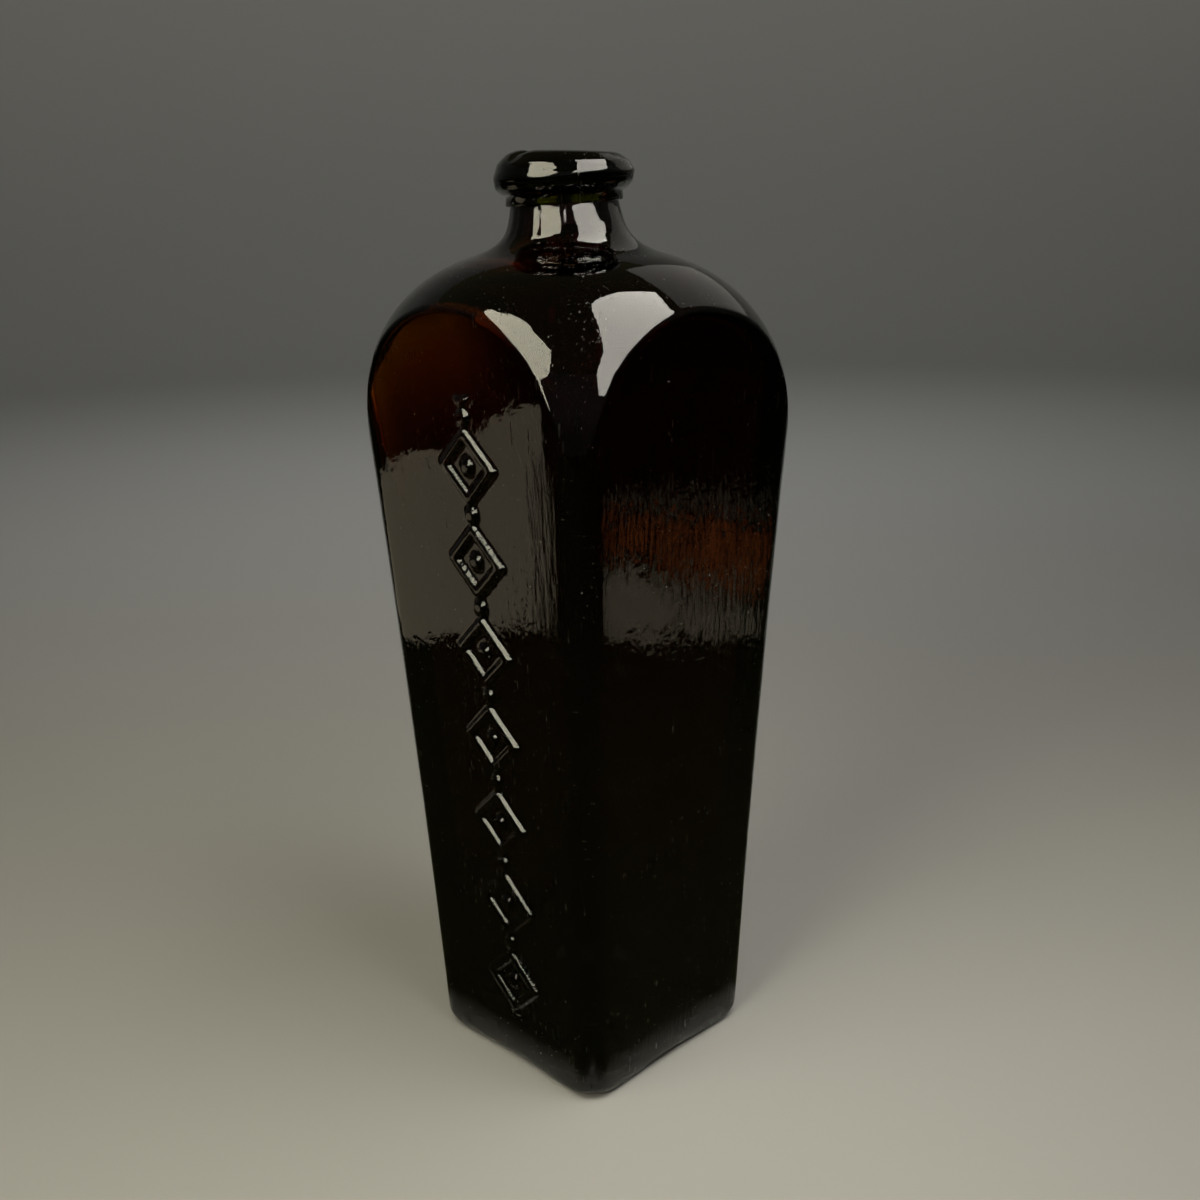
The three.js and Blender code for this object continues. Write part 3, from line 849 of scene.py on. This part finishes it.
class AddAppliedLip(Operator):
    """Add the lip: a ring of glass laid round the neck's end and tooled by hand"""

    bl_idname = "gin_bottle.add_applied_lip"
    bl_label = "Applied Lip"

    def execute(self, context):
        settings = context.scene.gin_bottle
        glass, segments = settings.glass, 160
        rows = lip_rows(BottleForm(settings), settings.lip, settings.neck, segments)
        faces = quads_between(0, len(rows), segments)
        last, ring = (len(rows) - 1) * segments, np.arange(segments)
        faces += [[int(last + a), int(last + b), int(b), int(a)] for a, b in zip(ring, np.roll(ring, -1))]
        piece = new_mesh_object("applied_lip_ring", np.concatenate(rows), faces)
        piece.data.materials.append(dark_glass(
            "Lip glass", glass, glass.lip_tint, glass.lip_density, streak_height=0.0))
        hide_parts("applied_lip")
        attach(piece, "root")
        return {"FINISHED"}


# Stage

# The softboxes: places across from the camera, each with its lower and upper edge, in degrees
RIGHT_WINDOW = (
    (13, 17, 28), (20, 15, 42), (26, 15, 61), (32, 15, 71), (40, 15, 76), (50, 15, 79), (62, 15, 81),
    (70, 23, 81), (80, 34, 81), (90, 45, 81), (100, 53, 79), (110, 56, 77), (123, 57, 71))
LEFT_WINDOW = (
    (-92, 56, 58.5), (-78, 54, 61), (-64, 50, 63), (-58, 17, 63), (-48, 13, 62), (-38, 14, 59),
    (-28, 18, 53), (-20, 21, 48), (-13, 30, 43))
LEFT_STRIP = ((-52, 2, 15), (-44, 2, 24), (-36, 3, 32), (-29, 7, 40), (-21, 14, 44))
RIGHT_FILL = ((104, 16, 48), (120, 14, 53), (140, 14, 54), (160, 18, 50))

# The low panels beside the bottle, painted reflections for its flats to mirror: places towards the camera,
# each with its near and far edge, in metres
LEFT_PANEL = (
    (-0.24, 0.36, 0.64), (-0.13, 0.36, 0.70), (-0.075, 0.36, 0.76), (-0.05, 0.36, 0.81),
    (-0.035, 0.36, 0.88), (-0.015, 0.36, 0.91), (0.016, 0.36, 0.90))
RIGHT_PANEL = (
    (-0.05, 0.352, 0.395), (-0.02, 0.35, 0.40), (0.0, 0.347, 0.44), (0.03, 0.345, 0.455),
    (0.065, 0.345, 0.40))
# Painted red-brown reflection for the right flat to mirror
BROWN_REFLECTION_PANEL = (
    (-0.085, 0.43, 0.51), (-0.06, 0.415, 0.54), (-0.03, 0.44, 0.555), (0.0, 0.475, 0.545),
    (0.028, 0.475, 0.54))
FAR_PANEL = ((-0.04, 0.56, 0.615), (0.03, 0.555, 0.61))


class SetStage(Operator):
    """Set the stage: a plain pale floor with its wall, soft lamps and the camera"""

    bl_idname = "gin_bottle.set_stage"
    bl_label = "Stage"

    def execute(self, context):
        stage = context.scene.gin_bottle.stage
        self.add_floor(stage)
        self.add_lamps(stage)
        self.add_camera(context, stage)
        context.scene.view_settings.view_transform = "Standard"
        world = bpy.data.worlds.new("Plain surroundings")
        world.use_nodes = True
        world.node_tree.nodes["Background"].inputs["Color"].default_value = (*stage.world_colour, 1)
        world.node_tree.nodes["Background"].inputs["Strength"].default_value = stage.world_level
        context.scene.world = world
        return {"FINISHED"}

    def add_floor(self, stage):
        """A round floor that sweeps up into its wall."""
        sweep, segments = 0.8, 96
        turn = np.linspace(-math.pi / 2, 0, 13)
        flat = np.linspace(0, stage.floor_radius, 13)[1:-1]
        radius = np.concatenate([
            flat, stage.floor_radius + sweep * np.cos(turn), [stage.floor_radius + sweep]])
        level = np.concatenate([flat * 0, sweep + sweep * np.sin(turn), [stage.wall_height]])
        way = np.linspace(0, 2 * math.pi, segments, endpoint=False)
        rows = [np.column_stack([r * np.cos(way), r * np.sin(way), np.full(segments, z)])
                for r, z in zip(radius, level)]
        points = np.concatenate([*rows, [[0, 0, 0]]])
        ring = np.arange(segments)
        faces = [list(reversed(quad)) for quad in quads_between(0, len(rows), segments)]
        faces += [[len(points) - 1, int(a), int(b)] for a, b in zip(ring, np.roll(ring, -1))]
        floor = new_mesh_object("studio_floor", points, faces)
        floor.data.materials.append(floor_paint("Pale floor paint", stage, sweep))

    def way_from_camera(self, stage, across, up):
        """The direction so many degrees across from the camera, and so many up."""
        way, rise = stage.azimuth + math.radians(across), math.radians(up)
        return Vector((math.sin(way) * math.cos(rise), -math.cos(way) * math.cos(rise), math.sin(rise)))

    def add_lamps(self, stage):
        near, far, level = stage.window_distance, stage.strip_distance, stage.window_level
        self.add_window(stage, "right_window", RIGHT_WINDOW, near, stage.window_colour, level)
        self.add_window(stage, "left_window", LEFT_WINDOW, near, stage.left_colour, level)
        self.add_window(stage, "left_strip", LEFT_STRIP, far, stage.left_colour, level)
        self.add_window(stage, "right_fill", RIGHT_FILL, near, stage.window_colour, stage.fill_level)
        # The low panels and the dark card are painted reflections, which only the glass sees
        right_level = stage.panel_level * stage.right_share
        far_level = right_level * stage.far_share
        self.add_low_panel(stage, "left_panel", -1, LEFT_PANEL, stage.panel_colour, stage.panel_level)
        self.add_low_panel(stage, "right_panel", 1, RIGHT_PANEL, stage.panel_colour, right_level)
        self.add_low_panel(stage, "warm_panel", 1, BROWN_REFLECTION_PANEL, stage.painted_brown_reflection_colour, right_level)
        self.add_low_panel(stage, "far_panel", 1, FAR_PANEL, stage.panel_colour, far_level)
        self.add_dark_reflection_card(stage)
        self.add_wall_light(stage, "Backdrop light", 180, stage.backdrop_level)
        self.add_wall_light(stage, "Front wall light", 0, stage.backdrop_level * stage.front_share)

    def add_wall_light(self, stage, name, across, brightness):
        """A lamp over the bottle that shines away from it, on the wall. The camera doesn't see it."""
        width, height = 0.9, 0.3
        lamp_reach, lamp_level = 0.55, 0.95
        aim_reach, aim_level = 1.75, 0.3
        light = bpy.data.lights.new(name, "AREA")
        light.shape = "RECTANGLE"
        light.size, light.size_y = width, height
        light.energy = brightness * math.pi * width * height
        lamp = bpy.data.objects.new(name, light)
        lamp.visible_camera = False
        bpy.context.scene.collection.objects.link(lamp)
        way = self.way_from_camera(stage, across, 0)
        lamp.location = way * lamp_reach + Vector((0, 0, lamp_level))
        aim = way * aim_reach + Vector((0, 0, aim_level))
        lamp.rotation_euler = (lamp.location - aim).to_track_quat("Z", "Y").to_euler()

    def add_window(self, stage, name, strips, distance, shade, brightness):
        """A softbox round the bottle's shoulder, shining inwards."""
        points_up = 5
        middle = Vector((0, 0, stage.window_centre))
        rows = [[middle + self.way_from_camera(stage, across, up) * distance
                 for up in np.linspace(low, high, points_up)] for across, low, high in strips]
        self.add_glowing_cloth(name, rows, shade, brightness)

    def add_low_panel(self, stage, name, side, strips, shade, brightness):
        """A dim panel just over the floor beside the bottle, shining up: a painted reflection, glowing for
        its flats to mirror but hidden from the camera. It takes no light from the floor, and lights it
        little."""
        out, toward = self.way_from_camera(stage, 90 * side, 0), self.way_from_camera(stage, 0, 0)
        lift = Vector((0, 0, 0.003))
        rows = [[out * edge + toward * place + lift for edge in edges] for place, *edges in strips]
        panel = self.add_glowing_cloth(name, rows if side < 0 else rows[::-1], shade, brightness)
        panel.visible_shadow = panel.visible_diffuse = False

    def add_dark_reflection_card(self, stage):
        """A dark card over the floor, all round but behind: a painted dark reflection for the bottle's lower
        sides to mirror, hidden from the camera and casting no shadow. It begins softly, along the base's
        square."""
        lift, widest, step, bend = Vector((0, 0, 0.002)), 130, 10, 0.15
        nearest, clear_to, dark_from = 0.035, 0.0355, 0.046
        rows = []
        for across in range(-widest, widest + 1, step):
            way = self.way_from_camera(stage, across, 0)
            rows.append([way * reach + lift for reach in (nearest, bend, stage.card_reach)])
        card = self.add_cloth("dark_reflection_card", rows)
        tree = card.active_material.node_tree
        place = add_node(tree, "ShaderNodeTexCoord").outputs["Object"]
        axes = add_node(tree, "ShaderNodeSeparateXYZ", {0: place}).outputs
        from_middle = calc(
            tree, "MAXIMUM", calc(tree, "ABSOLUTE", axes["X"]), calc(tree, "ABSOLUTE", axes["Y"]))
        clear = add_node(tree, "ShaderNodeBsdfTransparent")
        dark = add_node(tree, "ShaderNodeBsdfDiffuse", {"Color": (*stage.dark_reflection_colour, 1)})
        soft = add_node(tree, "ShaderNodeMixShader", {
            0: ramp(tree, from_middle, clear_to, dark_from), 1: clear.outputs[0], 2: dark.outputs[0]})
        add_node(tree, "ShaderNodeOutputMaterial", {"Surface": soft.outputs[0]})
        card.visible_shadow = card.visible_diffuse = False

    def add_glowing_cloth(self, name, rows, shade, brightness):
        """A cloth that glows on its front alone."""
        cloth = self.add_cloth(name, rows)
        tree = cloth.active_material.node_tree
        front = calc(tree, "SUBTRACT", 1.0, add_node(tree, "ShaderNodeNewGeometry").outputs["Backfacing"])
        glow = add_node(tree, "ShaderNodeEmission", {
            "Color": (*shade, 1), "Strength": product(tree, front, brightness)})
        add_node(tree, "ShaderNodeOutputMaterial", {"Surface": glow.outputs[0]})
        return cloth

    def add_cloth(self, name, rows):
        """A cloth through rows of points, with an empty material. The camera doesn't see it."""
        count = len(rows[0])
        faces = [[first + k, first + k + 1, first + k + count + 1, first + k + count]
                 for first in range(0, count * (len(rows) - 1), count) for k in range(count - 1)]
        cloth = new_mesh_object(name, np.array([point for row in rows for point in row]), faces)
        cloth.data.materials.append(empty_material(name + "_cloth")[0])
        cloth.visible_camera = False
        return cloth

    def add_camera(self, context, stage):
        roll = stage.roll
        back = self.way_from_camera(stage, 0, math.degrees(stage.elevation))
        level_right = self.way_from_camera(stage, 90, 0)
        level_up = back.cross(level_right)
        right = level_right * math.cos(roll) + level_up * math.sin(roll)
        up = level_up * math.cos(roll) - level_right * math.sin(roll)
        place = Vector((0, 0, stage.aim_level)) + level_right * stage.aim_across + back * stage.distance
        data = bpy.data.cameras.new("Camera")
        data.lens = stage.focal_length
        data.sensor_width = 36
        data.clip_start = 0.01
        camera = bpy.data.objects.new("Camera", data)
        camera.matrix_world = Matrix.Translation(place) @ Matrix((right, up, back)).transposed().to_4x4()
        context.scene.collection.objects.link(camera)
        context.scene.camera = camera


class GinBottlePanel(Panel):
    """Lists the bottle's operators and settings"""

    bl_idname = "VIEW3D_PT_gin_bottle"
    bl_label = "Gin Bottle"
    bl_space_type = "VIEW_3D"
    bl_region_type = "UI"
    bl_category = "Gin Bottle"

    def draw(self, context):
        settings = context.scene.gin_bottle
        for operator in OPERATORS:
            self.layout.operator(operator.bl_idname)
        for group in own_settings(settings):
            box = self.layout.box()
            box.label(text=group.identifier.capitalize())
            values = getattr(settings, group.identifier)
            for value in own_settings(values):
                box.prop(values, value.identifier)


OPERATORS = (AddBlownBody, AddAppliedLip, SetStage)
CLASSES = (
    MouldSettings, NeckSettings, WallSettings, LipSettings, ReliefSettings, SeedSettings, GlassSettings,
    StageSettings, BottleSettings, *OPERATORS, GinBottlePanel)


def register():
    for item in CLASSES:
        bpy.utils.register_class(item)
    bpy.types.Scene.gin_bottle = PointerProperty(type=BottleSettings)


def unregister():
    del bpy.types.Scene.gin_bottle
    for item in reversed(CLASSES):
        bpy.utils.unregister_class(item)


def main():
    register()
    bpy.ops.gin_bottle.add_blown_body()
    bpy.ops.gin_bottle.add_applied_lip()
    bpy.ops.gin_bottle.set_stage()


if __name__ == "__main__":
    main()
